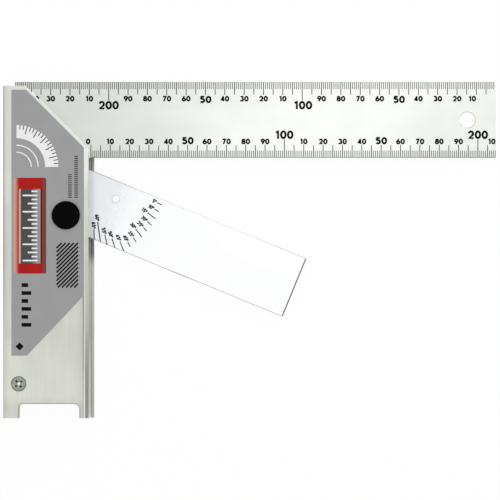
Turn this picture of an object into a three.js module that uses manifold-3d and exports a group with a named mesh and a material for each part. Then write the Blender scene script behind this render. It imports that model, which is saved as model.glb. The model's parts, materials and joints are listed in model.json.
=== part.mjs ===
// Try and mitre square with a fold-out angle tongue.
// Millimetres. X runs along the blade, Y across it and Z through the thickness, back to front.
// The origin is the zero of the blade's lower scale, at the blade's lower edge, on the back face.
import * as THREE from 'three';
import { mergeVertices } from 'three/addons/utils/BufferGeometryUtils.js';
import Module from 'manifold-3d';

const wasm = await Module();
wasm.setup();

// Clearances
const seatGap = 0.05; // between faces that are clamped or stuck together
const fixedFit = 0.15; // radial, round a fastener or a pin in its hole
const runningFit = 0.1; // radial, between the pivot pin and its bush
const slideFit = 0.3; // between the tongue and each wall of the channel
const cutOverrun = 2; // how far a cutter passes the face that it leaves through

// Blade
const bladeReach = 209.2; // from the scale's zero to the blade's end
const bladeWidth = 39.2;
const bladeThickness = 2;
const bladeCornerRadius = 0.8;
const bladeTangGap = 2; // from the blade's hidden end to the bottom of the channel
const hangHoleDiameter = 8;
const hangHoleFromEnd = 14.6;
const hangHoleChamfer = 0.4;

// Stock
const stockWidth = 46.7; // outer edge to the rear flange's edge
const stockLength = 171.5;
const rearWall = 5.4;
const packingThickness = 1.5;
const frontWall = 5.95;
const webThickness = 3.8;
const outerArris = 0.7;
const stockTopDrop = 2.1; // the stock's top end below the blade's upper edge
const flangeReach = 1.6; // the rear flange's edge past the scale's zero
const flangeBevelDrop = 1;
const lipSetBack = 2.75; // the front wall's lip behind the flange's edge
const lipBevelRun = 1.7;
const lipBevelDrop = 1.5;
const lipArrisRun = 0.5; // between the lip's bevel and the front face
const lipArrisDrop = 0.2;
const mitreLead = 3.3; // where the mitre line crosses the zero line, above the blade's lower edge
const mitreArris = 0.6;
const readingGrooveWidth = 0.5;
const readingGrooveDepth = 0.3;
const readingLineFromPivot = 6;

// Finger notch between the two feet
const outerFootWidth = 8.1;
const innerFootWidth = 7.4;
const notchDepth = 7.3;
const notchOuterRadius = 2.2;
const notchInnerRadius = 2.8;
const notchArris = 0.5;

// Tongue and its pivot
const pivotInset = 5.8; // from the scale's zero to the pivot axis
const pivotDrop = 9.2; // from the blade's lower edge to the pivot axis
const pivotToLongEdge = 4.9;
const pivotPinDiameter = 4;
const pivotPinChamfer = 0.3;
const pivotPinRecess = 0.15; // the pin's end below the back face
const pivotBoreDepth = 3.5; // blind, into the front wall
const bushWall = 1.1;
const bushProud = 0.15; // the bush past the tongue's front face
const washerReach = 0.95; // the spring washer's ring, inside to outside
const washerThickness = 0.3;
const washerHeight = 0.6;
const tongueSweepGap = 0.5; // left to the blade as the tongue's corner swings past it
const tongueTipGap = 0.5; // the folded tip behind the ends of the feet
const tongueCornerRadius = 0.8;
const tongueArris = 0.3;
const tongueOpening = THREE.MathUtils.degToRad(67.7); // from folded to where it stands

// Catch that holds the folded tongue
const catchSetBack = 4.1; // catch axis from the pivot axis, away from the inner edge
const catchDrop = 21.9; // catch axis below the pivot axis
const catchHoleDiameter = 3.6;
const plungerDiameter = 5.2;
const plungerWall = 0.8;
const plungerBelowFace = 1.45; // the plunger's open end below the front face
const plungerTipHeight = 0.8;
const plungerTipRadius = 1.55;
const plungerFloor = 1.9; // from the tip to the floor of its spring pocket
const plungerHeadroom = 1.1; // from the plunger to the cap's boss
const springWireRadius = 0.25;
const springTurns = 3;
const capDiameter = 14.6;
const capThickness = 1;
const capRimRadius = 0.35;
const capOffset = { x: -2.85, y: 1.4 }; // centre of the cap's head from the catch axis
const capPegDiameter = 2.4;
const capPegLength = 2.5;
const capPegFromCentre = 3.9;
const capBossFit = 0.2;

// Stop screw with its sleeve
const screwDiameter = 4;
const screwHeadDiameter = 7.75;
const screwHeadRecess = 0.08; // the head below the front face
const screwTipRecess = 0.3;
const screwAboveNotch = 10.4;
const driveSpan = 4.7;
const driveWidth = 0.95;
const driveDepth = 1.9;
const driveFloorSpan = 1.5;
const driveTurn = THREE.MathUtils.degToRad(40);
const sleeveWall = 1.05;
const sleeveEndGap = 1; // from the sleeve to the bottom of the channel
const foldedGap = 0.35; // from the sleeve to the folded tongue

// Blade rivets
const rivetDiameter = 4;
const rivetHeadDiameter = 6.4;
const rivetRecess = 0.1; // each head below its face
const rivetFromTang = 5.2;
const rivetFromLowerEdge = 6;
const rivetFromTangTop = 9;
const rivetFromMitre = 6.5;

// Packing behind the blade
const packingMargin = 1;

// Label
const labelThickness = 0.15;
const labelOuterMargin = 4.3;
const labelTopMargin = 2.1;
const labelMitreMargin = 1.15;
const labelInnerMargin = 0.1;
const labelAboveScrew = 14.6; // from the screw's axis to the label's lower end
const labelFootWidth = 7.95;
const labelSlopeRise = 31; // height of the slope between the foot and the inner side
const labelWindowMargin = 0.45; // between the window and the bore for the plunger

// Facets of a full round, of a quarter round and of a spring's turn
const roundSteps = 48;
const cornerSteps = 8;
const springSteps = 8;
const springSides = 5;

// Places worked out from the sizes above
const channelGap = packingThickness + bladeThickness + 3 * seatGap;
const channelFloor = rearWall;
const channelCeiling = channelFloor + channelGap;
const frontFace = channelCeiling + frontWall;
const innerEdge = flangeReach;
const outerEdge = innerEdge - stockWidth;
const channelEnd = outerEdge + webThickness;
const lipEdge = innerEdge - lipSetBack;
const faceEdge = lipEdge - lipBevelRun - lipArrisRun;
const stockTop = bladeWidth - stockTopDrop;
const stockBottom = stockTop - stockLength;
const notchTop = stockBottom + notchDepth;
const bladeBack = channelFloor + packingThickness + 2 * seatGap;
const tangEnd = channelEnd + bladeTangGap;

const pivot = { x: -pivotInset, y: -pivotDrop };
const pinRadius = pivotPinDiameter / 2;
const bushBore = pinRadius + runningFit;
const bushRadius = bushBore + bushWall;
const readingLine = pivot.x + readingLineFromPivot;

const screwRadius = screwDiameter / 2;
const sleeveBore = screwRadius + fixedFit;
const sleeveRadius = sleeveBore + sleeveWall;
const stop = { x: channelEnd + sleeveEndGap + sleeveRadius, y: notchTop + screwAboveNotch };

const tongueBack = channelFloor + slideFit;
const tongueThickness = channelGap - 2 * slideFit;
const tongueFront = tongueBack + tongueThickness;
const tongueFarEdge = stop.x + sleeveRadius + foldedGap - pivot.x; // folded, from the pivot
const tongueTip = stockBottom + tongueTipGap - pivot.y;
const tongueRoot = Math.sqrt((pivotDrop - tongueSweepGap) ** 2 - pivotToLongEdge ** 2);

const catchAxis = { x: pivot.x - catchSetBack, y: pivot.y - catchDrop };
const plungerRadius = plungerDiameter / 2;
const plungerTip = tongueFront + slideFit;
const plungerTop = frontFace - plungerBelowFace;
const springFloor = plungerTip + plungerFloor + seatGap;
const capBossFloor = plungerTop + plungerHeadroom;
const springRadius = plungerRadius - plungerWall - runningFit - springWireRadius;
const capCentre = { x: catchAxis.x + capOffset.x, y: catchAxis.y + capOffset.y };
const labelWindowRadius = Math.hypot(capOffset.x, capOffset.y) + plungerRadius + fixedFit
  + labelWindowMargin;
const capLean = Math.atan2(capOffset.y, capOffset.x);
const capPeg = {
  x: capCentre.x + capPegFromCentre * Math.cos(capLean),
  y: capCentre.y + capPegFromCentre * Math.sin(capLean),
};
const capUnderside = frontFace + labelThickness + 2 * seatGap;

const rivetRadius = rivetDiameter / 2;
const rivetHeadRadius = rivetHeadDiameter / 2;
const rivetLine = tangEnd + rivetFromTang;
const rivetPlaces = {
  blade_rivet_top: { x: rivetLine, y: Math.min(stockTop, mitreLead - rivetLine) - rivetFromTangTop },
  blade_rivet_low: { x: rivetLine, y: rivetFromLowerEdge },
  blade_rivet_inner: {
    x: mitreLead - rivetFromLowerEdge - Math.SQRT2 * rivetFromMitre,
    y: rivetFromLowerEdge,
  },
};

// Materials, one for each finish
const finishes = {
  aluminium: { color: 0xcdcec8, roughness: 0.42, metalness: 0.9 },
  steel: { color: 0xdcddd8, roughness: 0.3, metalness: 0.9 },
  darkSteel: { color: 0x9a9b98, roughness: 0.4, metalness: 0.9 },
  zinc: { color: 0x919892, roughness: 0.38, metalness: 0.85 },
  brass: { color: 0xb8964a, roughness: 0.35, metalness: 0.9 },
  clearPlastic: { color: 0xe9ebee, roughness: 0.08, metalness: 0, transparent: true, opacity: 0.35 },
  blackPlastic: { color: 0x0b0b0b, roughness: 0.35, metalness: 0 },
  greyFilm: { color: 0x989898, roughness: 0.5, metalness: 0 },
};

function piece(name, geometry, finish) {
  const mesh = new THREE.Mesh(geometry, new THREE.MeshStandardMaterial(finishes[finish]));
  mesh.name = name;
  return mesh;
}

// Solids for cutting: a closed mesh with shared corners goes in, flat facets come out

function solidOf(geometry) {
  const bare = geometry.clone();
  bare.deleteAttribute('normal');
  bare.deleteAttribute('uv');
  const welded = mergeVertices(bare);
  const corners = welded.index.array;
  const triangles = [];
  for (let i = 0; i < corners.length; i += 3) {
    const [a, b, c] = corners.slice(i, i + 3);
    if (a !== b && b !== c && c !== a) triangles.push(a, b, c);
  }
  return new wasm.Manifold(new wasm.Mesh({
    numProp: 3,
    vertProperties: new Float32Array(welded.attributes.position.array),
    triVerts: new Uint32Array(triangles),
  }));
}

function geometryOf(solid) {
  const mesh = solid.getMesh();
  const shared = new THREE.BufferGeometry();
  shared.setAttribute('position', new THREE.BufferAttribute(mesh.vertProperties, 3));
  shared.setIndex(new THREE.BufferAttribute(mesh.triVerts, 1));
  const faceted = shared.toNonIndexed();
  faceted.computeVertexNormals();
  return faceted;
}

function cut(geometry, cutters) {
  const solid = cutters.reduce((rest, cutter) => rest.subtract(solidOf(cutter)), solidOf(geometry));
  return geometryOf(solid);
}

// Basic forms

function outline(points) {
  return new THREE.Shape(points.map(([x, y]) => new THREE.Vector2(x, y)));
}

// A rounded corner of an outline drawn anticlockwise. Quarter 0 starts on the right of its
// middle and quarter 1 above it.
function roundCorner(shape, middleX, middleY, radius, quarter) {
  const start = (quarter * Math.PI) / 2;
  shape.absarc(middleX, middleY, radius, start, start + Math.PI / 2, false);
}

function roundHole(centre, radius) {
  const points = [];
  for (let step = roundSteps; step > 0; step -= 1) {
    const angle = (2 * Math.PI * step) / roundSteps;
    const across = radius * Math.cos(angle);
    points.push(new THREE.Vector2(centre.x + across, centre.y + radius * Math.sin(angle)));
  }
  return new THREE.Path(points);
}

// A flat plate from z = from to z = to, with its outline in X and Y.
function plate(shape, from, to) {
  const geometry = new THREE.ExtrudeGeometry(shape, {
    depth: to - from,
    bevelEnabled: false,
    curveSegments: cornerSteps / 2,
  });
  return geometry.translate(0, 0, from);
}

// A turned form about the Z axis through centre, from [radius, z] points.
function turned(profile, centre = { x: 0, y: 0 }) {
  const points = profile.map(([radius, z]) => new THREE.Vector2(radius, z));
  const geometry = new THREE.LatheGeometry(points, roundSteps);
  return geometry.rotateX(Math.PI / 2).translate(centre.x, centre.y, 0);
}

// A round shaft along Z; an end with a head flares out to it at 45 degrees.
function shaft({ centre, radius, from, to, lowHead, highHead }) {
  const profile = [[0, from]];
  if (lowHead) profile.push([lowHead, from]);
  profile.push([radius, lowHead ? from + lowHead - radius : from]);
  profile.push([radius, highHead ? to - highHead + radius : to]);
  if (highHead) profile.push([highHead, to]);
  profile.push([0, to]);
  return turned(profile, centre);
}

function ring({ centre, bore, radius, from, to }) {
  return turned([[bore, from], [radius, from], [radius, to], [bore, to], [bore, from]], centre);
}

// [radius, z] points of a quarter round, from its widest place up or down to its end.
function quarterRound(middleRadius, middleZ, across, along) {
  const points = [];
  for (let step = 0; step <= cornerSteps; step += 1) {
    const angle = (step / cornerSteps) * (Math.PI / 2);
    points.push([middleRadius + across * Math.cos(angle), middleZ + along * Math.sin(angle)]);
  }
  return points;
}

// Stock: the extruded section, then its machining

function stockSection() {
  const grooveLeft = readingLine - readingGrooveWidth / 2;
  const grooveRight = readingLine + readingGrooveWidth / 2;
  return outline([
    [outerEdge + outerArris, 0],
    [innerEdge - outerArris, 0],
    [innerEdge, outerArris],
    [innerEdge, channelFloor - flangeBevelDrop],
    [grooveRight, channelFloor],
    [readingLine, channelFloor - readingGrooveDepth],
    [grooveLeft, channelFloor],
    [channelEnd, channelFloor],
    [channelEnd, channelCeiling],
    [lipEdge, channelCeiling],
    [lipEdge, frontFace - lipArrisDrop - lipBevelDrop],
    [lipEdge - lipBevelRun, frontFace - lipArrisDrop],
    [faceEdge, frontFace],
    [outerEdge + outerArris, frontFace],
    [outerEdge, frontFace - outerArris],
    [outerEdge, outerArris],
  ]);
}

// A block's outline beyond the mitre line, or beyond a line set back from it by a margin.
function mitreShape(margin) {
  const lead = mitreLead - Math.SQRT2 * margin;
  const top = stockTop + cutOverrun;
  const side = innerEdge + cutOverrun;
  return outline([
    [lead - top, top],
    [side, lead - side],
    [side + stockWidth, lead - side + stockWidth],
    [lead - top + stockWidth, top + stockWidth],
  ]);
}

function mitreCutter(margin) {
  return plate(mitreShape(margin), -cutOverrun, frontFace + cutOverrun);
}

function notchShape() {
  const left = outerEdge + outerFootWidth;
  const right = innerEdge - innerFootWidth;
  const notch = new THREE.Shape();
  notch.moveTo(left, stockBottom - cutOverrun);
  notch.lineTo(right, stockBottom - cutOverrun);
  roundCorner(notch, right - notchInnerRadius, notchTop - notchInnerRadius, notchInnerRadius, 0);
  roundCorner(notch, left + notchOuterRadius, notchTop - notchOuterRadius, notchOuterRadius, 1);
  return notch;
}

// Cutters for the chamfers of a cut, at the front face and at the back. Each has the cut's own
// outline one arris below its face and flares out from there at 45 degrees.
function arrisCutters(shape, arris) {
  const flare = arris + cutOverrun;
  const flared = new THREE.ExtrudeGeometry(shape, {
    depth: cutOverrun,
    bevelEnabled: true,
    bevelThickness: flare,
    bevelSize: flare,
    bevelSegments: 1,
    curveSegments: cornerSteps / 2,
  });
  return [
    flared.clone().translate(0, 0, frontFace - arris + flare),
    flared.translate(0, 0, arris - flare - cutOverrun),
  ];
}

// The hole for a fastener: its own form, with the fit all round and run out of both faces.
function rivetBore(centre) {
  return shaft({
    centre,
    radius: rivetRadius + fixedFit,
    from: -cutOverrun,
    to: frontFace + cutOverrun,
    lowHead: rivetHeadRadius + fixedFit + cutOverrun,
    highHead: rivetHeadRadius + fixedFit + cutOverrun,
  });
}

function screwBore() {
  return shaft({
    centre: stop,
    radius: screwRadius + fixedFit,
    from: -cutOverrun,
    to: frontFace + cutOverrun,
    highHead: screwHeadDiameter / 2 + fixedFit + cutOverrun,
  });
}

function pivotBore() {
  return shaft({
    centre: pivot,
    radius: pinRadius + fixedFit,
    from: -cutOverrun,
    to: channelCeiling + pivotBoreDepth,
  });
}

function catchBores() {
  const plungerBore = shaft({
    centre: catchAxis,
    radius: plungerRadius + fixedFit,
    from: channelCeiling - channelGap / 2,
    to: frontFace + cutOverrun,
  });
  const pegBore = shaft({
    centre: capPeg,
    radius: capPegDiameter / 2 + fixedFit,
    from: capUnderside - capPegLength - fixedFit,
    to: frontFace + cutOverrun,
  });
  return [plungerBore, pegBore];
}

function makeStock() {
  const extrusion = new THREE.ExtrudeGeometry(stockSection(), {
    depth: stockLength,
    bevelEnabled: false,
  });
  extrusion.rotateX(Math.PI / 2).translate(0, stockTop, 0);
  const ends = [
    mitreCutter(0),
    ...arrisCutters(mitreShape(0), mitreArris),
    plate(notchShape(), -cutOverrun, frontFace + cutOverrun),
    ...arrisCutters(notchShape(), notchArris),
  ];
  const bores = [
    ...Object.values(rivetPlaces).map(rivetBore),
    screwBore(),
    pivotBore(),
    ...catchBores(),
  ];
  return piece('stock', cut(extrusion, [...ends, ...bores]), 'aluminium');
}

// Blade, with its packing and rivets

function makeBlade() {
  const shape = new THREE.Shape();
  const turn = bladeReach - bladeCornerRadius;
  shape.moveTo(tangEnd, bladeWidth);
  shape.lineTo(tangEnd, 0);
  roundCorner(shape, turn, bladeCornerRadius, bladeCornerRadius, -1);
  roundCorner(shape, turn, bladeWidth - bladeCornerRadius, bladeCornerRadius, 0);
  for (const place of Object.values(rivetPlaces)) {
    shape.holes.push(roundHole(place, rivetRadius + fixedFit));
  }
  const front = bladeBack + bladeThickness;
  const holeRadius = hangHoleDiameter / 2;
  const hangHole = shaft({
    centre: { x: bladeReach - hangHoleFromEnd, y: bladeWidth / 2 },
    radius: holeRadius,
    from: bladeBack - cutOverrun,
    to: front + cutOverrun,
    lowHead: holeRadius + hangHoleChamfer + cutOverrun,
    highHead: holeRadius + hangHoleChamfer + cutOverrun,
  });
  return piece('blade', cut(plate(shape, bladeBack, front), [hangHole]), 'steel');
}

function makePacking() {
  const top = stockTop - packingMargin;
  const shape = outline([
    [tangEnd, 0],
    [innerEdge, 0],
    [innerEdge, top],
    [tangEnd, top],
  ]);
  for (const place of Object.values(rivetPlaces)) {
    shape.holes.push(roundHole(place, rivetRadius + fixedFit));
  }
  const from = channelFloor + seatGap;
  const packing = cut(plate(shape, from, from + packingThickness), [mitreCutter(packingMargin)]);
  return piece('blade_packing', packing, 'aluminium');
}

function makeRivets() {
  return Object.entries(rivetPlaces).map(([name, centre]) => piece(
    name,
    shaft({
      centre,
      radius: rivetRadius,
      from: rivetRecess,
      to: frontFace - rivetRecess,
      lowHead: rivetHeadRadius,
      highHead: rivetHeadRadius,
    }),
    'darkSteel',
  ));
}

// Tongue: drawn folded, hanging from the pivot at (0, 0), and turned open as a group

function tongueShape() {
  const left = tongueFarEdge;
  const right = pivotToLongEdge;
  const low = tongueTip;
  const high = tongueRoot;
  const round = tongueCornerRadius;
  const shape = new THREE.Shape();
  shape.moveTo(left + round, low);
  roundCorner(shape, right - round, low + round, round, -1);
  shape.lineTo(right, high);
  shape.lineTo(left, high);
  roundCorner(shape, left + round, low + round, round, 2);
  shape.holes.push(roundHole({ x: 0, y: 0 }, bushRadius + runningFit));
  shape.holes.push(roundHole({ x: -catchSetBack, y: -catchDrop }, catchHoleDiameter / 2));
  return shape;
}

function makeTongue() {
  const strip = new THREE.ExtrudeGeometry(tongueShape(), {
    depth: tongueThickness - 2 * tongueArris,
    bevelEnabled: true,
    bevelThickness: tongueArris,
    bevelSize: tongueArris,
    bevelOffset: -tongueArris,
    bevelSegments: 1,
    curveSegments: cornerSteps / 2,
  });
  return piece('tongue', strip.translate(0, 0, tongueArris), 'clearPlastic');
}

function makeBush() {
  const washerTop = channelFloor + seatGap + washerHeight;
  const bush = ring({
    bore: bushBore,
    radius: bushRadius,
    from: washerTop + runningFit - tongueBack,
    to: tongueThickness + bushProud,
  });
  return piece('pivot_bush', bush, 'brass');
}

function makeTongueArm() {
  const arm = new THREE.Group();
  arm.add(makeTongue(), makeBush());
  arm.position.set(pivot.x, pivot.y, tongueBack);
  arm.rotation.z = tongueOpening;
  return arm;
}

// Pivot pin, and the conical spring washer under the bush

function makePivotPin() {
  const from = pivotPinRecess;
  const to = channelCeiling + pivotBoreDepth - fixedFit;
  const tip = pinRadius - pivotPinChamfer;
  const pin = turned([
    [0, from],
    [tip, from],
    [pinRadius, from + pivotPinChamfer],
    [pinRadius, to - pivotPinChamfer],
    [tip, to],
    [0, to],
  ], pivot);
  return piece('pivot_pin', pin, 'darkSteel');
}

function makePivotWasher() {
  const low = channelFloor + seatGap;
  const high = low + washerHeight;
  const bore = pinRadius + fixedFit;
  const rim = bore + washerReach;
  const washer = turned([
    [bore, high - washerThickness],
    [rim, low],
    [rim, low + washerThickness],
    [bore, high],
    [bore, high - washerThickness],
  ], pivot);
  return piece('pivot_washer', washer, 'darkSteel');
}

// Catch: a hollow plunger, its coil spring and the black cap over them

function makePlunger() {
  const pocket = plungerRadius - plungerWall;
  const shoulder = plungerTip + plungerTipHeight;
  const dome = quarterRound(0, shoulder, plungerTipRadius, -plungerTipHeight).reverse();
  const plunger = turned([
    [0, plungerTip],
    ...dome.slice(1),
    [plungerRadius, shoulder],
    [plungerRadius, plungerTop],
    [pocket, plungerTop],
    [pocket, plungerTip + plungerFloor],
    [0, plungerTip + plungerFloor],
  ], catchAxis);
  return piece('catch_plunger', plunger, 'steel');
}

class Helix extends THREE.Curve {
  constructor(radius, height, turns) {
    super();
    this.radius = radius;
    this.height = height;
    this.turns = turns;
  }

  getPoint(t, target = new THREE.Vector3()) {
    const angle = 2 * Math.PI * this.turns * t;
    return target.set(this.radius * Math.cos(angle), this.radius * Math.sin(angle), this.height * t);
  }
}

function makeCatchSpring() {
  const low = springFloor + springWireRadius;
  const high = capBossFloor - seatGap - springWireRadius;
  const wire = new THREE.Shape();
  for (let side = 0; side < springSides; side += 1) {
    const angle = (2 * Math.PI * side) / springSides;
    const point = [springWireRadius * Math.cos(angle), springWireRadius * Math.sin(angle)];
    if (side === 0) wire.moveTo(...point);
    else wire.lineTo(...point);
  }
  const coil = new THREE.ExtrudeGeometry(wire, {
    steps: springTurns * springSteps,
    bevelEnabled: false,
    extrudePath: new Helix(springRadius, high - low, springTurns),
  });
  return piece('catch_spring', coil.translate(catchAxis.x, catchAxis.y, low), 'darkSteel');
}

function makeCatchCap() {
  const radius = capDiameter / 2;
  const top = capUnderside + capThickness;
  const rim = quarterRound(radius - capRimRadius, top - capRimRadius, capRimRadius, capRimRadius);
  const head = turned([[0, capUnderside], [radius, capUnderside], ...rim, [0, top]], capCentre);
  const root = capUnderside + capThickness / 2;
  const boss = shaft({
    centre: catchAxis,
    radius: plungerRadius - capBossFit,
    from: capBossFloor,
    to: root,
  });
  const peg = shaft({
    centre: capPeg,
    radius: capPegDiameter / 2,
    from: capUnderside - capPegLength,
    to: root,
  });
  const cap = solidOf(head).add(solidOf(boss)).add(solidOf(peg));
  return piece('catch_cap', geometryOf(cap), 'blackPlastic');
}

// Stop screw and sleeve

function makeStopScrew() {
  const top = frontFace - screwHeadRecess;
  const screw = solidOf(shaft({
    centre: stop,
    radius: screwRadius,
    from: screwTipRecess,
    to: top,
    highHead: screwHeadDiameter / 2,
  }));
  const cross = [driveTurn, driveTurn + Math.PI / 2].map((angle) => {
    const arm = new THREE.BoxGeometry(driveSpan, driveWidth, 2 * driveDepth);
    return solidOf(arm.rotateZ(angle).translate(stop.x, stop.y, top));
  });
  const taper = solidOf(turned([
    [0, top - driveDepth],
    [driveFloorSpan / 2, top - driveDepth],
    [driveSpan / 2, top],
    [driveSpan / 2, top + cutOverrun],
    [0, top + cutOverrun],
  ], stop));
  const recess = cross[0].add(cross[1]).intersect(taper);
  return piece('stop_screw', geometryOf(screw.subtract(recess)), 'zinc');
}

function makeStopSleeve() {
  const sleeve = ring({
    centre: stop,
    bore: sleeveBore,
    radius: sleeveRadius,
    from: channelFloor + seatGap,
    to: channelCeiling - seatGap,
  });
  return piece('stop_sleeve', sleeve, 'brass');
}

// Label on the front face

function makeLabel() {
  const left = outerEdge + labelOuterMargin;
  const right = faceEdge - labelInnerMargin;
  const top = stockTop - labelTopMargin;
  const foot = stop.y + labelAboveScrew;
  const shape = outline([
    [left, foot],
    [left + labelFootWidth, foot],
    [right, foot + labelSlopeRise],
    [right, top],
    [left, top],
  ]);
  shape.holes.push(roundHole(capCentre, labelWindowRadius));
  const from = frontFace + seatGap;
  const label = cut(plate(shape, from, from + labelThickness), [mitreCutter(labelMitreMargin)]);
  return piece('face_label', label, 'greyFilm');
}

const square = new THREE.Group();
square.add(
  makeStock(),
  makeBlade(),
  makePacking(),
  ...makeRivets(),
  makeTongueArm(),
  makePivotPin(),
  makePivotWasher(),
  makePlunger(),
  makeCatchSpring(),
  makeCatchCap(),
  makeStopScrew(),
  makeStopSleeve(),
  makeLabel(),
);

export default square;
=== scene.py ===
import json
import math

import bmesh
import bpy
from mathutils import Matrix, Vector


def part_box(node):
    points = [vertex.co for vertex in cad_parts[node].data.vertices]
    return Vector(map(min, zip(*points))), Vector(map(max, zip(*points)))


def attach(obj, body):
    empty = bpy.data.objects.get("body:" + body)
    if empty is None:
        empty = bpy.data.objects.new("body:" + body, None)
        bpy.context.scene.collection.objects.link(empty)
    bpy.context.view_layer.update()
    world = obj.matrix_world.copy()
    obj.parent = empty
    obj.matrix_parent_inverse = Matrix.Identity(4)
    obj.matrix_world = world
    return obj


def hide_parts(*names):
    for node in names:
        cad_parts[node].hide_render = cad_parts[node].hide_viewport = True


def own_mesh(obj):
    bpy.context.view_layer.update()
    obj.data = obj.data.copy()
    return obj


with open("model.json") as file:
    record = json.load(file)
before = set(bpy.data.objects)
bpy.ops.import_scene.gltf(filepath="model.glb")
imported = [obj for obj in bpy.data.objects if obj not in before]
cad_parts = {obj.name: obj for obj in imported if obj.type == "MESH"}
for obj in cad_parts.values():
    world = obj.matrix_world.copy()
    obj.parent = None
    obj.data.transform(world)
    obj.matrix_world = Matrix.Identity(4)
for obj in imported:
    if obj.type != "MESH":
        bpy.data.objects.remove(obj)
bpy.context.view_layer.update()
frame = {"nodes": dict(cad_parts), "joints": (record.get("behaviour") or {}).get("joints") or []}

mm = 0.001
nodes = frame["nodes"]
joints = {joint["name"]: joint for joint in frame["joints"]}


# The camera stands far above the square and looks straight down, as in the photograph.

picture = {
    "side": 500,                # pixels
    "pixelsPerMm": 1.935,       # on the blade's face
    "zeroMark": (90.9, 157.8),  # pixel of the frame's origin
    "distance": 3000,           # mm from the lens to the blade's face
    "sensor": 36,               # mm
    "farthest": 100,            # metres that the camera sees
}


def setCamera():
    across = picture["side"] / picture["pixelsPerMm"]
    middle = picture["side"] / 2
    zeroX, zeroY = picture["zeroMark"]
    lens = bpy.data.cameras.new("camera")
    lens.sensor_width = picture["sensor"]
    lens.lens = picture["sensor"] * picture["distance"] / across
    lens.clip_end = picture["farthest"]
    camera = bpy.data.objects.new("camera", lens)
    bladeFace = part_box("blade")[1].z
    camera.location = (
        (middle - zeroX) / picture["pixelsPerMm"] * mm,
        (zeroY - middle) / picture["pixelsPerMm"] * mm,
        bladeFace + picture["distance"] * mm,
    )
    bpy.context.scene.collection.objects.link(camera)
    bpy.context.scene.camera = camera


# Shader maths is written as sums on wires, and each sum adds its node.

class Wire:
    def __init__(self, board, socket):
        self.board = board
        self.socket = socket

    def also(self, output):
        return Wire(self.board, self.socket.node.outputs[output])

    def math(self, operation, first, second):
        return self.board.node("ShaderNodeMath", {"operation": operation}, {0: first, 1: second})

    def __add__(self, other):
        return self.math("ADD", self, other)

    def __radd__(self, other):
        return self.math("ADD", other, self)

    def __sub__(self, other):
        return self.math("SUBTRACT", self, other)

    def __rsub__(self, other):
        return self.math("SUBTRACT", other, self)

    def __mul__(self, other):
        return self.math("MULTIPLY", self, other)

    def __rmul__(self, other):
        return self.math("MULTIPLY", other, self)

    def __truediv__(self, other):
        return self.math("DIVIDE", self, other)

    def __rtruediv__(self, other):
        return self.math("DIVIDE", other, self)

    def larger(self, other):
        return self.math("MAXIMUM", self, other)

    def power(self, other):
        return self.math("POWER", self, other)


class Board:
    def __init__(self, tree):
        self.tree = tree
        tree.nodes.clear()

    def node(self, kind, settings=None, sockets=None):
        made = self.tree.nodes.new(kind)
        for name, value in (settings or {}).items():
            setattr(made, name, value)
        for name, value in (sockets or {}).items():
            if isinstance(value, Wire):
                self.tree.links.new(value.socket, made.inputs[name])
            else:
                made.inputs[name].default_value = value
        return Wire(self, made.outputs[0]) if made.outputs else None

    def vectorMath(self, operation, first, second):
        sockets = {0: first, 1: second}
        return self.node("ShaderNodeVectorMath", {"operation": operation}, sockets)

    def place(self):
        return self.node("ShaderNodeTexCoord").also("Object")

    def parts(self, vector):
        # its X, with also("Y") and also("Z") for the others
        return self.node("ShaderNodeSeparateXYZ", None, {0: vector})

    def grain(self, size, detail=2, seed=0.0):
        # noise from 0 to 1 whose spots are size mm along each axis
        sizes = size if isinstance(size, tuple) else (size, size, size)
        stretch = tuple(1 / (part * mm) for part in sizes)
        spot = self.vectorMath("MULTIPLY", self.place(), stretch)
        moved = self.vectorMath("ADD", spot, (seed, seed, seed))
        return self.node(
            "ShaderNodeTexNoise",
            {"noise_dimensions": "3D"},
            {"Vector": moved, "Scale": 1.0, "Detail": detail},
        )

    def step(self, value, low, high):
        # 0 at low, 1 at high and smooth between
        return self.node(
            "ShaderNodeMapRange",
            {"interpolation_type": "SMOOTHSTEP"},
            {"Value": value, "From Min": low, "From Max": high},
        )

    def tint(self, share, first, second):
        # sockets 6 and 7 take the colours of a Mix node, and its output 2 gives theirs
        sockets = {0: share, 6: first, 7: second}
        return self.node("ShaderNodeMix", {"data_type": "RGBA"}, sockets).also(2)

    def bump(self, height, depth, strength):
        sockets = {"Height": height, "Distance": depth * mm, "Strength": strength}
        return self.node("ShaderNodeBump", None, sockets)


def distance(x, y):
    # how far a place is from the axis that x and y are measured from
    return (x * x + y * y).power(0.5)


def paint(red, green, blue):
    # a colour as a screen shows it, 0 to 255, in linear light
    def linear(part):
        share = part / 255
        return share / 12.92 if share <= 0.04045 else ((share + 0.055) / 1.055) ** 2.4
    return (linear(red), linear(green), linear(blue), 1.0)


black = paint(0, 0, 0)
white = paint(255, 255, 255)


def makeFinish(name, fixed, varied):
    # fixed values go on the shader's own sockets, and varied(board) gives the rest
    material = bpy.data.materials.new(name)
    material.use_nodes = True
    board = Board(material.node_tree)
    shader = board.node("ShaderNodeBsdfPrincipled", None, {**fixed, **varied(board)})
    board.node("ShaderNodeOutputMaterial", None, {"Surface": shader})
    return material


def blendTone(board, look, first, second):
    # the look's shade and light, mixed by two grains
    firstShare, secondShare = look["shares"]
    tone = first * firstShare + second * secondShare
    if "contrast" in look:
        tone = board.step(tone, *look["contrast"])
    return board.tint(tone, look["shade"], look["light"])


def surface(board, look, grain, colour):
    # the colour with the roughness and the relief that a grain gives
    return {
        "Base Color": colour,
        "Roughness": look["roughness"] + grain * look["grainRoughness"],
        "Normal": board.bump(grain, look["relief"], look["reliefStrength"]),
    }


# Places are in mm. A ramp is (axis, from, to, share): nothing at "from" and the share at "to".

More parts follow.
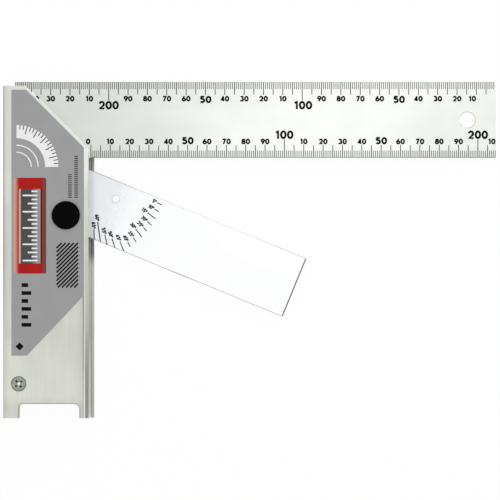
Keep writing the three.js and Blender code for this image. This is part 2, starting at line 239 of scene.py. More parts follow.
brushed = {
    "shade": paint(197, 199, 191),
    "light": paint(215, 217, 209),
    "streak": (0.4, 30, 0.4),   # size along each axis
    "cloud": (16, 24, 16),
    "shares": (0.4, 0.6),       # of streak and cloud
    "contrast": (0.2, 0.8),
    "roughness": 0.3,
    "grainRoughness": 0.16,
    "relief": 0.004,
    "reliefStrength": 0.6,
    "sharp": 0.02,              # width of a sharp border, and of a softer one
    "soft": 0.1,
    # painted shade and light on the front face, as how much darker it is: darker in its lower
    # part, at the feet and near both long edges, with a painted brighter patch above the notch
    "paintedFaceShading": [
        ("Y", 10, -60, 0.14),
        ("Y", -88, -110, -0.08),
        ("Y", -123, -129, 0.11),
        ("X", -8, -4, 0.08),
        ("X", -4.6, -3.9, 0.1),
        ("X", -41.5, -44.3, 0.07),
        ("X", -44.35, -44.45, 0.16),
    ],
    "innerSide": -3.4,          # the front face ends at this X
    # a painted shade line runs along that end, darker towards the blade
    "lineWidth": 0.5,           # of the dark line along that end
    "paintedLineShade": ("Y", -130, -100, 0.3),
    # lip and flange: painted shade where they get darker, then painted highlights where they get
    # paler
    "lipHeights": (13.2, 14.8),
    "paintedLipShade": ("Y", -62, -125, 0.42),
    "flangeHeights": (4.3, 5.5),
    # painted shade on the flange: darker near the blade, and a little darker all along
    "flangeShadeNearBlade": ("Y", -56, -49, 0.5),
    "paintedFlangeShade": 0.08,
    # painted highlights: the lip's arris and the flange turn paler towards the bottom
    "arrisHeights": (14.82, 14.97),
    "paintedArrisHighlight": ("Y", -82, -100, 0.55),
    "flangeHighlight": ("Y", -85, -120, 0.4),
    "flangeGainTo": -0.1,       # and only up to this X
    # painted reflection: near the blade the lip is tinted paler, as if it mirrored the blade
    "shineHeights": (13.2, 15),
    "paintedLipReflection": ("Y", -20, -8, 1),
    "lipReflectionColour": paint(215, 216, 213),
    "frontFrom": 14.2,          # the mitre's band and the outer arris lie above this height
    "mitreFrom": 1.35,          # X + Y at which the bare band along the mitre starts
    "mitreColour": paint(205, 207, 206),
    # painted highlight on the outer arris, paler towards the bottom
    "outerArris": -44.4,        # X of its inner border
    "paintedOuterHighlight": ("Y", -45, -95, 0.4),
}


def brushedAluminium(board):
    sharp = brushed["sharp"]
    soft = brushed["soft"]
    streak = board.grain(brushed["streak"], detail=3)
    cloud = board.grain(brushed["cloud"], seed=4.0)
    colour = blendTone(board, brushed, streak, cloud)
    spot = board.parts(board.place())
    height = spot.also("Z") / mm

    def ramp(axis, start, end, share=1):
        return board.step(spot.also(axis), start * mm, end * mm) * share

    def within(low, high):
        return board.step(height, low - sharp, low) * board.step(height, high + sharp, high)

    side = brushed["innerSide"]
    inner = ramp("X", side - sharp, side)
    lineSide = side - brushed["lineWidth"]
    line = ramp("X", lineSide - soft, lineSide)
    # painted shade and light on the front face, from the ramps above
    faceShade = sum(ramp(*place) for place in brushed["paintedFaceShading"])
    # the painted shade line along the inner end
    faceShade = faceShade + line * ramp(*brushed["paintedLineShade"])
    onFlange = within(*brushed["flangeHeights"])
    # painted shade on the lip's bevel, darker towards the bottom
    lipShade = within(*brushed["lipHeights"]) * ramp(*brushed["paintedLipShade"])
    # painted shade on the flange, darker near the blade
    paintedFlangeShade = onFlange * (ramp(*brushed["flangeShadeNearBlade"]) + brushed["paintedFlangeShade"])
    # painted shade: the front face, lip and flange are tinted towards black by these
    paintedShade = (1 - inner) * faceShade + inner * (lipShade + paintedFlangeShade)
    colour = board.tint(paintedShade, colour, black)

    front = board.step(height, brushed["frontFrom"], brushed["frontFrom"] + soft / 2)
    start = brushed["mitreFrom"] * mm
    band = board.step(spot.also("X") + spot.also("Y"), start, start + soft * mm)
    colour = board.tint(front * band, colour, brushed["mitreColour"])
    # painted reflection of the blade on the lip
    bright = inner * within(*brushed["shineHeights"]) * ramp(*brushed["paintedLipReflection"])
    colour = board.tint(bright, colour, brushed["lipReflectionColour"])

    # painted highlights on the lip's arris, the flange and the outer arris, tinted towards white
    reach = brushed["flangeGainTo"]
    paintedArrisHighlight = within(*brushed["arrisHeights"]) * ramp(*brushed["paintedArrisHighlight"])
    flangeHighlight = onFlange * ramp(*brushed["flangeHighlight"]) * ramp("X", reach, reach - soft)
    edge = brushed["outerArris"]
    paintedOuterHighlight = front * ramp("X", edge + soft / 2, edge - soft / 2) * ramp(*brushed["paintedOuterHighlight"])
    paintedHighlight = inner * (paintedArrisHighlight + flangeHighlight) + paintedOuterHighlight
    return surface(board, brushed, streak, board.tint(paintedHighlight, colour, white))


rolled = {
    "shade": paint(206, 208, 203),
    "light": paint(215, 217, 213),
    "streak": (60, 0.9, 0.9),
    "cloud": (26, 18, 18),
    "shares": (0.2, 0.8),
    "contrast": (0.2, 0.8),
    "roughness": 0.285,
    "grainRoughness": 0.05,
    "relief": 0.002,
    "reliefStrength": 0.4,
    "hole": (194.6, 19.6),
    # painted highlight on the hole's chamfer ring, paler towards the blade's upper edge
    "chamfer": (3.95, 4.45),    # its inner and outer radius
    "chamferBorder": 0.05,
    "chamferHighlight": 0.5,         # how much paler it is, level with the hole's axis
    "chamferHighlightRise": 0.4,        # and how much more towards the blade's upper edge
}


def rolledSteel(board):
    streak = board.grain(rolled["streak"])
    cloud = board.grain(rolled["cloud"], seed=9.0)
    colour = blendTone(board, rolled, streak, cloud)
    spot = board.parts(board.place())
    offX = spot.also("X") / mm - rolled["hole"][0]
    offY = spot.also("Y") / mm - rolled["hole"][1]
    inside, outside = rolled["chamfer"]
    # painted highlight on the hole's chamfer
    chamfer = board.step(distance(offX, offY), outside + rolled["chamferBorder"], outside)
    paintedHighlight = rolled["chamferHighlight"] + offY / inside * rolled["chamferHighlightRise"]
    return surface(board, rolled, streak, board.tint(chamfer * paintedHighlight, colour, white))


turned = {
    "speck": 0.5,
    "grainRoughness": 0.15,
    "relief": 0.004,
    "reliefStrength": 0.4,
}


def turnedMetal(shade, light, roughness):
    def varied(board):
        speck = board.grain(turned["speck"], detail=3)
        look = {**turned, "roughness": roughness}
        return surface(board, look, speck, board.tint(speck, shade, light))
    return varied


zinc = {
    "shade": paint(116, 122, 116),
    "light": paint(164, 170, 162),
    "speck": 0.5,
    "wornSpot": 2.2,
    "shares": (0.4, 0.6),          # of specks and worn spots
    # painted shade darkens the cross recess, below the head's face
    "recessShade": paint(58, 64, 58),     # the cross recess
    "recessShadeDepths": (0.05, 0.25),    # below the head
    "centreGlint": paint(232, 238, 232),  # painted glint at its middle, deep in the recess
    "centreGlintDepths": (1.2, 1.65),
    # painted shade: a darker ring at the head's rim
    "rim": (2.9, 3.8),             # from the axis
    "rimShade": 0.3,
    "roughness": 0.28,
    "grainRoughness": 0.12,
    "relief": 0.004,
    "reliefStrength": 0.4,
}


def zincPlate(board):
    low, high = (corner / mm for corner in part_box("stop_screw"))
    speck = board.grain(zinc["speck"], detail=3)
    worn = board.grain(zinc["wornSpot"], detail=1, seed=3.0)
    spot = board.parts(board.place())
    offX = spot.also("X") / mm - (low.x + high.x) / 2
    offY = spot.also("Y") / mm - (low.y + high.y) / 2
    below = high.z - spot.also("Z") / mm
    colour = blendTone(board, zinc, speck, worn)
    # painted shade in the cross recess
    colour = board.tint(board.step(below, *zinc["recessShadeDepths"]), colour, zinc["recessShade"])
    # painted glint deep in the recess
    colour = board.tint(board.step(below, *zinc["centreGlintDepths"]), colour, zinc["centreGlint"])
    # painted shade at the head's rim
    rim = board.step(distance(offX, offY), *zinc["rim"])
    return surface(board, zinc, speck, board.tint(rim * zinc["rimShade"], colour, black))


ink = {
    "speck": 0.35,
    "contrast": (0.45, 0.8),
    "roughness": 0.45,
    "grainRoughness": 0.2,
}


def printedInk(dark, worn):
    def varied(board):
        speck = board.grain(ink["speck"])
        return {
            "Base Color": board.tint(board.step(speck, *ink["contrast"]), dark, worn),
            "Roughness": ink["roughness"] + speck * ink["grainRoughness"],
        }
    return varied


film = {
    "cloud": 14,
    "fibre": 0.3,
    "roughness": 0.4,
    "inkRoughness": 0.42,       # of the red panel and the ruled strip
    "grainRoughness": 0.12,
    "relief": 0.003,
    "reliefStrength": 0.4,
    # sides of the printed areas: (from, to, colour) with X in mm, and the colour full at "to"
    "stripSides": [
        (-35.95, -36.1, paint(203, 166, 158)),
        (-31.0, -27.0, paint(150, 147, 147)),
        (-26.0, -25.6, paint(60, 22, 16)),
    ],
    "panelSides": [
        (-36.8, -39.4, paint(205, 158, 140)),
        (-25.6, -23.0, paint(92, 74, 68)),
    ],
}


def plainFilm(shade, light):
    def varied(board):
        cloud = board.grain(film["cloud"], detail=1)
        fibre = board.grain(film["fibre"], seed=2.0)
        return surface(board, film, fibre, board.tint(cloud, shade, light))
    return varied


def shadedFilm(shade, light, sides):
    def varied(board):
        cloud = board.grain(film["cloud"], detail=1)
        fibre = board.grain(film["fibre"], seed=2.0)
        colour = board.tint(cloud, shade, light)
        spot = board.parts(board.place()) / mm
        for start, end, edge in sides:
            colour = board.tint(board.step(spot, start, end), colour, edge)
        roughness = film["inkRoughness"] + fibre * film["grainRoughness"]
        return {"Base Color": colour, "Roughness": roughness}
    return varied


moulded = {
    "shade": paint(0, 0, 1),
    "light": paint(5, 5, 6),
    "speck": 0.4,
    "roughness": 0.3,
    "grainRoughness": 0.12,
    "relief": 0.005,
    "reliefStrength": 0.4,
}


def mouldedBlack(board):
    speck = board.grain(moulded["speck"])
    return surface(board, moulded, speck, board.tint(speck, moulded["shade"], moulded["light"]))


# Places on the tongue are in mm along it and across it, from the pivot.

clearTongue = {
    "leaning": 22.3,            # degrees that its long edge falls from the blade's line at rest
    "longEdge": -4.9,
    "lowerEdge": 27.75,
    "end": 124.7,
    "hole": (21.9, 4.1),
    "holeRadius": 1.8,
    "edgeWidth": 0.42,          # the edges carry a painted grey shade this far in
    "edgeShade": paint(96, 98, 102),
    # the end edge gets a darker painted shade
    "paintedEndShade": paint(44, 46, 50),
    # where the grey ends, from an edge, as shares of that width
    "sideFade": (0.6, 1),
    "endFade": (1.1, 1.5),
    "rimFade": (0.4, 1),
    "rimShare": 0.42,
    # how grey the long edge is: everywhere, and how much more near the stock and far from it
    "longShares": (0.25, 0.45, 0.28),
    "near": (10, 62),
    "far": (85, 108),
    # how grey the lower edge is: everywhere, and how much more between two places
    "lowerShares": (0.66, 0.3),
    "extraShadeFrom": (55, 66),
    "extraShadeTo": (70, 78),
    "root": paint(248, 249, 254),
    "tip": paint(254, 255, 255),
    "rootToneFade": (12, 62),          # the root's tone fades out between these
    "cloud": 30,
    "cloudReach": 4,            # how far the clouds move that fading
    "scuff": (0.6, 9, 0.6),
    "scuffContrast": (0.5, 0.9),
    "scuffRoughness": 0.03,
    "roughness": 0.03,
    "bending": 1.49,            # its index of refraction
    "cover": 0.6,               # alpha of the clear part
    "haze": (13, 34),           # the haze near the stock thins out between these
    "hazeShare": 0.65,
    "edgeHaze": 0.9,
}


def makeClearSheet():
    # clear plastic, hazier and bluish near the stock, with edges in painted grey shade: a mix of a
    # clear shader and a hazy one
    look = clearTongue
    material = bpy.data.materials.new("clearSheet")
    material.use_nodes = True
    board = Board(material.node_tree)
    pivot = joints["tongue_pivot"]["pos_m"]
    lean = math.radians(look["leaning"])
    offset = board.vectorMath("SUBTRACT", board.place(), (pivot[0], pivot[1], 0))

    def reach(x, y):
        # mm from the pivot along one way on the sheet
        return board.vectorMath("DOT_PRODUCT", offset, (x, y, 0)).also("Value") / mm

    def edge(gap, fade):
        # 1 at an edge, and 0 where the gap to it has passed the fade
        return 1 - board.step(gap, *(look["edgeWidth"] * share for share in fade))

    along = reach(math.cos(lean), -math.sin(lean))
    across = reach(-math.sin(lean), -math.cos(lean))
    holeX, holeY = look["hole"]
    fromHole = distance(along - holeX, across - holeY)
    near = 1 - board.step(along, *look["near"])
    far = board.step(along, *look["far"])
    base, nearShare, farShare = look["longShares"]
    longEdge = edge(across - look["longEdge"], look["sideFade"])
    longEdge = longEdge * (base + near * nearShare + far * farShare)
    extraShade = board.step(along, *look["extraShadeFrom"]) * (1 - board.step(along, *look["extraShadeTo"]))
    base, glintShare = look["lowerShares"]
    lowerEdge = edge(look["lowerEdge"] - across, look["sideFade"]) * (base + extraShade * glintShare)
    endEdge = edge(look["end"] - along, look["endFade"])
    rim = edge(fromHole - look["holeRadius"], look["rimFade"]) * look["rimShare"]
    # painted shade: the sheet's edges and the hole's rim are greyed
    edges = longEdge.larger(lowerEdge).larger(endEdge).larger(rim)

    cloud = board.grain(look["cloud"])
    rootToneFade = 1 - board.step(along + cloud * look["cloudReach"], *look["rootToneFade"])
    colour = board.tint(rootToneFade, look["tip"], look["root"])
    colour = board.tint(edges, colour, look["edgeShade"])
    colour = board.tint(endEdge, colour, look["paintedEndShade"])
    scuff = board.step(board.grain(look["scuff"], seed=6.0), *look["scuffContrast"])
    values = {
        "Base Color": colour,
        "Roughness": look["roughness"] + scuff * look["scuffRoughness"],
        "IOR": look["bending"],
    }
    clear = {**values, "Transmission Weight": 1.0, "Alpha": look["cover"]}
    glass = board.node("ShaderNodeBsdfPrincipled", None, clear)
    haze = board.node("ShaderNodeBsdfPrincipled", None, values)
    root = 1 - board.step(along, *look["haze"])
    share = (root * look["hazeShare"]).larger(edges * look["edgeHaze"])
    mixed = board.node("ShaderNodeMixShader", None, {0: share, 1: glass, 2: haze})
    board.node("ShaderNodeOutputMaterial", None, {"Surface": mixed})
    return material


def shine(level):
    return {"Specular IOR Level": level}


metal = {"Metallic": 1.0}

# for each finish its fixed values and the function that varies the others
looks = {
    "brushedAluminium": (metal, brushedAluminium),
    "rolledSteel": (metal, rolledSteel),
    "plainSteel": (metal, turnedMetal(paint(140, 141, 140), paint(176, 177, 175), 0.3)),
    "springSteel": (metal, turnedMetal(paint(80, 80, 84), paint(112, 112, 116), 0.28)),
    "brightSteel": (metal, turnedMetal(paint(196, 197, 198), paint(222, 222, 222), 0.12)),
    "zincPlate": (metal, zincPlate),
    "brass": (metal, turnedMetal(paint(176, 140, 70), paint(206, 172, 98), 0.22)),
    "tickInk": (shine(0.1), printedInk(paint(62, 64, 58), paint(92, 94, 87))),
    "blackInk": (shine(0.05), printedInk(paint(6, 6, 6), paint(26, 27, 26))),
    "whiteInk": (shine(0.1), printedInk(paint(236, 236, 236), paint(222, 222, 222))),
    "greyInk": (
        shine(0.1),
        shadedFilm(paint(68, 69, 68), paint(80, 80, 80), film["stripSides"]),
    ),
    "redFilm": (
        shine(0.08),
        shadedFilm(paint(159, 25, 21), paint(174, 30, 25), film["panelSides"]),
    ),
    "greyFilm": (shine(0.3), plainFilm(paint(148, 148, 149), paint(156, 156, 157))),
    "mouldedBlack": (shine(0.03), mouldedBlack),
}
finishes = {name: makeFinish(name, *look) for name, look in looks.items()}
finishes["clearSheet"] = makeClearSheet()
print("finishes mixed:", len(finishes))

nodeFinishes = {
    "stock": "brushedAluminium",
    "blade": "rolledSteel",
    "blade_packing": "brushedAluminium",
    "blade_rivet_top": "plainSteel",
    "blade_rivet_low": "plainSteel",
    "blade_rivet_inner": "plainSteel",
    "tongue": "clearSheet",
    "pivot_bush": "brass",
    "pivot_pin": "plainSteel",
    "pivot_washer": "springSteel",
    "catch_cap": "mouldedBlack",
    "catch_spring": "springSteel",
    "catch_plunger": "brightSteel",
    "stop_screw": "zincPlate",
    "stop_sleeve": "brass",
    "face_label": "greyFilm",
}


def dressNodes():
    for name, finish in nodeFinishes.items():
        slots = nodes[name].data.materials
        slots.clear()
        slots.append(finishes[finish])
    print("nodes dressed")


# Small mesh tools. Everything here is in mm, and a piece becomes metres when it is done.

cornerLimit = 0.6  # strokes' corners are drawn out no further below this cosine of half their turn


def makeObject(name, mesh, material):
    bmesh.ops.scale(mesh, vec=(mm, mm, mm), verts=mesh.verts)
    bmesh.ops.recalc_face_normals(mesh, faces=mesh.faces)
    data = bpy.data.meshes.new(name)
    mesh.to_mesh(data)
    mesh.free()
    data.materials.append(material)
    made = bpy.data.objects.new(name, data)
    bpy.context.scene.collection.objects.link(made)
    return made


def makePiece(name, mesh, finish, body, smooth=False):
    piece = makeObject(name, mesh, finishes[finish])
    for face in piece.data.polygons:
        face.use_smooth = smooth
    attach(piece, body)
    return piece


def addSlab(mesh, outline, low, high):
    # a flat closed slab from an outline that runs anticlockwise
    under = [mesh.verts.new((x, y, low)) for x, y in outline]
    over = [mesh.verts.new((x, y, high)) for x, y in outline]
    mesh.faces.new(over)
    mesh.faces.new(under[::-1])
    for here in range(len(outline)):
        after = (here + 1) % len(outline)
        mesh.faces.new((under[here], under[after], over[after], over[here]))


def addBar(mesh, low, high):
    # a box between two corners
    outline = [(low[0], low[1]), (high[0], low[1]), (high[0], high[1]), (low[0], high[1])]
    addSlab(mesh, outline, low[2], high[2])


def addRibbon(mesh, line, width, low, high, closed=False):
    # a flat stroke of one width along a line, with its corners drawn out to points
    count = len(line)
    rings = []
    for here in range(count):
        spot = Vector(line[here])
        before = Vector(line[here - 1]) if closed or here > 0 else None
        after = Vector(line[(here + 1) % count]) if closed or here < count - 1 else None
        arriving = (spot - before).normalized() if before else None
        leaving = (after - spot).normalized() if after else arriving
        arriving = arriving or leaving
        along = (arriving + leaving).normalized()
        side = Vector((-along.y, along.x))
        reach = width / 2 / max(along.dot(arriving), cornerLimit)
        left = spot + side * reach
        right = spot - side * reach
        corners = [(right, low), (left, low), (left, high), (right, high)]
        rings.append([mesh.verts.new((corner.x, corner.y, z)) for corner, z in corners])
    spans = count if closed else count - 1
    for here in range(spans):
        first = rings[here]
        second = rings[(here + 1) % count]
        for edge in range(4):
            other = (edge + 1) % 4
            mesh.faces.new((first[edge], first[other], second[other], second[edge]))
    if not closed:
        mesh.faces.new(rings[0])
        mesh.faces.new(rings[-1][::-1])


def addWire(mesh, line, radius, sides):
    # a round wire along a line, closed at both ends
    rings = []
    for here, spot in enumerate(line):
        ahead = (line[min(here + 1, len(line) - 1)] - line[max(here - 1, 0)]).normalized()
        across = ahead.cross(Vector((0, 0, 1))).normalized()
        up = across.cross(ahead)
        row = []
        for side in range(sides):
            angle = math.tau * side / sides
            out = across * math.cos(angle) + up * math.sin(angle)
            row.append(mesh.verts.new(spot + out * radius))
        rings.append(row)
    for lower, upper in zip(rings, rings[1:]):
        for side in range(sides):
            after = (side + 1) % sides
            mesh.faces.new((lower[side], lower[after], upper[after], upper[side]))
    mesh.faces.new(rings[0][::-1])
    mesh.faces.new(rings[-1])


def arc(middleX, middleY, acrossRadius, upRadius, start, end, steps=12):
    points = []
    for step in range(steps + 1):
        angle = math.radians(start + (end - start) * step / steps)
        x = middleX + acrossRadius * math.cos(angle)
        y = middleY + upRadius * math.sin(angle)
        points.append((x, y))
    return points


def roundOutline(low, high, radius, steps=8):
    # a rectangle with rounded corners, anticlockwise
    corners = [
        (high[0] - radius, low[1] + radius, -90),
        (high[0] - radius, high[1] - radius, 0),
        (low[0] + radius, high[1] - radius, 90),
        (low[0] + radius, low[1] + radius, 180),
    ]
    points = []
    for middleX, middleY, start in corners:
        points += arc(middleX, middleY, radius, radius, start, start + 90, steps)
    return points


# Figures for the scales: broad, round strokes on a body one unit high.

figure = {
    "strokes": {"small": 0.32, "middle": 0.3, "large": 0.27},
    "widen": {"small": 0.95, "middle": 1.0, "large": 0.94},
    "width": 0.78,
    "narrow": {"1": 0.5, "°": 0.42},  # the signs that are less wide
    "gap": 0.12,
}


def ring(middleX, middleY, acrossRadius, upRadius, steps=20):
    return arc(middleX, middleY, acrossRadius, upRadius, 0, 360 - 360 / steps, steps - 1), True


# centre lines of each sign, as (points, closed)
centreLines = {
    "0": [ring(0.39, 0.5, 0.29, 0.4)],
    "1": [([(0.04, 0.76), (0.32, 0.9), (0.32, 0)], False)],
    "2": [(arc(0.38, 0.63, 0.27, 0.27, 170, -35) + [(0.17, 0.1), (0.72, 0.1)], False)],
    "3": [
        (arc(0.36, 0.71, 0.23, 0.19, 160, -80), False),
        (arc(0.37, 0.31, 0.28, 0.21, 80, -160), False),
    ],
    "4": [
        ([(0.6, 0.28), (0.13, 0.28), (0.56, 0.94)], False),
        ([(0.54, 0), (0.54, 1)], False),
        ([(0.54, 0.28), (0.76, 0.28)], False),
    ],
    "5": [
        ([(0.68, 0.9), (0.24, 0.9), (0.17, 0.5)], False),
        (arc(0.37, 0.34, 0.29, 0.24, 128, -150), False),
    ],
    "6": [ring(0.39, 0.32, 0.29, 0.22), ([(0.14, 0.44), (0.5, 1)], False)],
    "7": [([(0.06, 0.9), (0.62, 0.9), (0.26, 0)], False)],
    "8": [ring(0.39, 0.71, 0.22, 0.19), ring(0.39, 0.31, 0.28, 0.21)],
    "°": [ring(0.2, 0.78, 0.13, 0.13, 12)],
}
centreLines["9"] = [
    ([(figure["width"] - x, 1 - y) for x, y in points], closed)
    for points, closed in centreLines["6"]
]


def signWidth(sign):
    return figure["narrow"].get(sign, figure["width"])


def addText(mesh, text, spot, height, low, high, size="small", turn=0.0, anchor=0.5, widen=None):
    # text with its foot on spot; anchor is the share of its width that lies before spot
    widen = widen or figure["widen"][size]
    along = Vector((math.cos(turn), math.sin(turn)))
    up = Vector((-math.sin(turn), math.cos(turn)))
    width = sum(signWidth(sign) for sign in text) + figure["gap"] * (len(text) - 1)
    start = -anchor * width
    stroke = figure["strokes"][size] * height
    for sign in text:
        for points, closed in centreLines[sign]:
            line = []
            for x, y in points:
                place = Vector(spot) + along * ((start + x) * height * widen) + up * (y * height)
                line.append((place.x, place.y))
            addRibbon(mesh, line, stroke, low, high, closed)
        start += signWidth(sign) + figure["gap"]


# Scales on the blade: the lower one counts from the stock and the upper from the blade's end.

scale = {
    "ink": 0.02,             # height of the print
    "sunk": 0.01,            # how far it starts under the face
    "tickWidth": 0.36,
    "longTickWidth": 0.45,
    "tick": 3.75,            # lengths of the marks from the edge
    "fiveTick": 6.5,
    "tenTick": 6.8,
    "hundredTick": 9.4,
    "edgeMargin": 0.05,
    "edgeLines": (0.25, 0.06),  # widths of the lines along the lower and upper edge
    "linesUnder": 0.005,     # how far those lines stay under the marks
    "figureStep": 10,
    "figureHeights": {"small": 2.7, "middle": 3.5, "large": 4.2},
    "lowerFoot": {"small": 7.1, "middle": 7.1, "large": 9.8},
    "upperTop": {"small": 31.9, "middle": 31.9, "large": 29.3},
    "lowerShift": {0: 1.45, 210: 2.8},  # how far some figures stand before their marks
    "upperShift": {10: 2.1, 100: -0.5, 240: -1.7},
}


def figureSize(count):
    if count == 0 or count % 50:
        return "small"
    return "middle" if count % 100 else "large"


def tickLength(count):
    if count % 100 == 0 and count > 0:
        return scale["hundredTick"]
    if count % 10 == 0:
        return scale["tenTick"]
    return scale["tick"] if count % 5 else scale["fiveTick"]


def printBlade():
    low, high = (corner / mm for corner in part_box("blade"))
    foot = high.z - scale["sunk"]
    top = high.z + scale["ink"]
    margin = scale["edgeMargin"]
    step = scale["figureStep"]
    ticks = bmesh.new()
    figures = bmesh.new()

    def addTick(count, spot, lower, upper):
        half = scale["tickWidth" if count % 5 else "longTickWidth"] / 2
        addBar(ticks, (spot - half, lower, foot), (spot + half, upper, top))

    def addFigure(count, x, y, size):
        # only the hundreds are written out in full
        text = str(count % 100 or count)
        addText(figures, text, (x, y), scale["figureHeights"][size], foot, top, size)

    for count in range(int(high.x) + 1):
        addTick(count, count, low.y + margin, low.y + tickLength(count))
    for count in range(1, int(high.x - low.x) + 1):
        addTick(count, high.x - count, high.y - tickLength(count), high.y - margin)
    lowerLine, upperLine = scale["edgeLines"]
    end = high.x - margin
    side = high.y - margin
    under = top - scale["linesUnder"]
    addBar(ticks, (0, low.y + margin, foot), (end, low.y + margin + lowerLine, under))
    addBar(ticks, (low.x + margin, side - upperLine, foot), (end, side, under))

    # the last figure's own mark would lie just past the blade's end
    for count in range(0, int(high.x) + 2, step):
        size = figureSize(count)
        x = count - scale["lowerShift"].get(count, 0)
        addFigure(count, x, scale["lowerFoot"][size], size)
    for count in range(step, int(high.x - low.x), step):
        size = figureSize(count)
        x = high.x - count - scale["upperShift"].get(count, 0)
        addFigure(count, x, scale["upperTop"][size] - scale["figureHeights"][size], size)
    makePiece("blade_scale_marks", ticks, "tickInk", "stock")
    makePiece("blade_scale_figures", figures, "blackInk", "stock")
    print("blade printed")


# The tongue's degree scale. Each mark stands 6 mm from the pivot's axis, at its own angle to the
# long edge, so at that angle it lies over the reading groove in the stock.

degrees = {
    "step": 5,
    "last": 65,
    "fromPivot": 6.0,
    "arc": 44.7,        # distance along a mark's line to its end
    "edgeDrop": 27.7,   # the lower edge cuts the long ones off
    "short": 2.8,
    "long": 5.2,
    "longStep": 15,     # degrees between the marks that are long
    "longest": 10.5,
    "longestAt": 60,
    "markWidth": 0.52,
    "figureHeight": 1.85,
    "figureGap": 0.55,
    "figureWiden": 0.8,
}


def printTongue():
    pivot = joints["tongue_pivot"]
    centre = Vector(pivot["pos_m"][:2]) / mm
    folded = math.radians(-90)
    opening = math.radians(-pivot["range_deg"][0])
    along = folded + opening
    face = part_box("tongue")[1].z / mm
    foot = face - scale["sunk"]
    top = face + scale["ink"]
    height = degrees["figureHeight"]
    marks = bmesh.new()
    figures = bmesh.new()
    for count in range(degrees["step"], degrees["last"] + 1, degrees["step"]):
        lean = math.radians(count)
        heading = along - lean
        outward = Vector((math.cos(heading), math.sin(heading)))
        sideways = Vector((-outward.y, outward.x)) * degrees["fromPivot"]
        edge = (degrees["edgeDrop"] + degrees["fromPivot"] * math.cos(lean)) / math.sin(lean)
        end = min(degrees["arc"], edge)
        length = degrees["short"]
        if count % degrees["longStep"] == 0 or edge < degrees["arc"]:
            length = degrees["long"]
        if count == degrees["longestAt"]:
            length = degrees["longest"]
        start = centre + sideways + outward * (end - length)
        finish = centre + sideways + outward * end
        addRibbon(marks, [tuple(start), tuple(finish)], degrees["markWidth"], foot, top)
        below = Vector((outward.y, -outward.x)) * (height / 2)
        spot = tuple(start - outward * degrees["figureGap"] + below)
        widen = degrees["figureWiden"]
        addText(figures, f"{count}°", spot, height, foot, top, "small", heading, 1.0, widen)
    makePiece("tongue_degree_marks", marks, "blackInk", "tongue")
    makePiece("tongue_degree_figures", figures, "blackInk", "tongue")
    print("tongue printed")


# The label's print is a plain design of measuring marks: a pale protractor fan, a red panel with a
# dark ruled strip, a hatched patch, fine ladders of dashes, six bars and a diamond.

labelPrint = {
    "layer": 0.03,  # thickness of the ink on the film
    "over": 0.02,   # and of each layer over it
    "panel": {"low": (-39.6, -59.8), "high": (-22.9, -10.4), "radius": 0.9},
    "strip": {"low": (-36.95, -54.6), "high": (-25.05, -16.2), "radius": 0.4},
    "stripMarks": {
        "side": -27.4,
        "from": -53.5,
        "step": 2.1,
        "count": 18,
        "lengths": (7.6, 3, 5, 3),
        "width": 0.8,
    },
    "fan": {
        "middle": (-38.2, -4.8),
        "spread": 90,          # degrees
        "band": (14.8, 21.6),  # its inner and outer radius
        "bandSteps": 48,
        "arcs": (11.2, 7.6),   # radii
        "arcWidth": 0.6,
        "arcSteps": 32,
        "tickStep": 5,         # degrees
        "ticks": (4.2, 2.2, 2.2),
        "tickWidth": 0.45,
    },
    "hatch": {"low": (-17.6, -67.0), "high": (-6.4, -44.0), "step": 2.1, "width": 0.85},
    "ladders": [(-11.6, -20.6, -8.0), (-8.4, -20.6, 1.5)],  # X, foot and top of each
    "dash": {"length": 1.9, "width": 0.45, "step": 1.05},
    "bars": {
        "left": -35.6,
        "foot": -87.2,
        "step": 4.1,
        "count": 6,
        "lengths": (5, 3.4),
        "width": 1.9,
    },
    "diamond": {"middle": (-36.6, -97.4), "reach": 2.1},
}


def addStripMarks(mesh, foot, top):
    marks = labelPrint["stripMarks"]
    for count in range(marks["count"]):
        low = marks["from"] + count * marks["step"]
        length = marks["lengths"][count % len(marks["lengths"])]
        corner = (marks["side"], low + marks["width"], top)
        addBar(mesh, (marks["side"] - length, low, foot), corner)


def addFan(pale, dark, face, ink, over):
    fan = labelPrint["fan"]
    middleX, middleY = fan["middle"]
    inside, outside = fan["band"]
    bands = [((inside + outside) / 2, outside - inside, fan["bandSteps"])]
    bands += [(radius, fan["arcWidth"], fan["arcSteps"]) for radius in fan["arcs"]]
    for radius, width, steps in bands:
        line = arc(middleX, middleY, radius, radius, 0, fan["spread"], steps)
        addRibbon(pale, line, width, face, ink)
    for angle in range(fan["tickStep"], fan["spread"], fan["tickStep"]):
        way = Vector((math.cos(math.radians(angle)), math.sin(math.radians(angle))))
        length = fan["ticks"][angle // fan["tickStep"] % len(fan["ticks"])]
        reaches = (outside - length, outside)
        ends = [tuple(Vector(fan["middle"]) + way * reach) for reach in reaches]
        addRibbon(dark, ends, fan["tickWidth"], ink, over)


def addHatch(mesh, face, ink):
    hatch = labelPrint["hatch"]
    left, foot = hatch["low"]
    right, top = hatch["high"]
    start = foot - (right - left)
    while start < top:
        first = max(start, foot)
        last = min(start + right - left, top)
        if last - first > hatch["width"]:
            ends = [(left + first - start, first), (left + last - start, last)]
            addRibbon(mesh, ends, hatch["width"], face, ink)
        start += hatch["step"]


